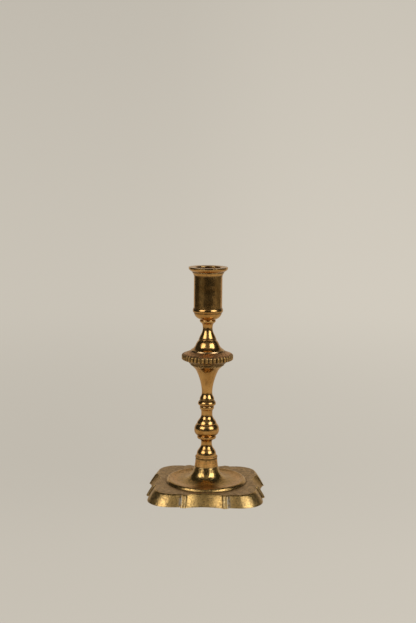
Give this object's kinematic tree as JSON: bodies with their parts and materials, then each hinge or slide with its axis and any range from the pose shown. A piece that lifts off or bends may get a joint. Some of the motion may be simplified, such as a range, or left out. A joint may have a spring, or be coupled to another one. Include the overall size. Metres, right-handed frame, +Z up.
{
  "type": "candlestick",
  "caption": "Turned brass candlestick: a straight candle socket on a baluster stem with a fluted drip pan, standing on a square lobed foot with a raised round step.",
  "frame": {"origin": "middle of the foot, on the surface that the candlestick stands on", "axes": "+Z up along the stem's axis, +X and +Y square to the sides of the foot; the front faces -Y"},
  "size_m": [0.1042, 0.1042, 0.2],
  "materials": {
    "polished_brass": "polished, aged to a dark gold with brown streaks",
    "cast_brass": "cast and hand-worked, dull on top, bright on the skirt, finely pitted",
    "rough_brass": "coarse, unpolished, orange brown with dark pits",
    "steel": "plain steel, slightly dull"
  },
  "bodies": {
    "root": {"foot": "cast_brass", "foot_collar": "rough_brass", "stem_bell": "polished_brass", "ball_knop": "polished_brass", "waist_stem": "polished_brass", "trumpet_stem": "polished_brass", "drip_pan": "cast_brass", "shoulder_bell": "polished_brass", "upper_neck": "polished_brass", "candle_cup": "polished_brass", "tie_rod": "steel", "foot_washer": "steel", "spring_washer": "steel", "hex_nut": "steel"}
  },
  "joints": []
}
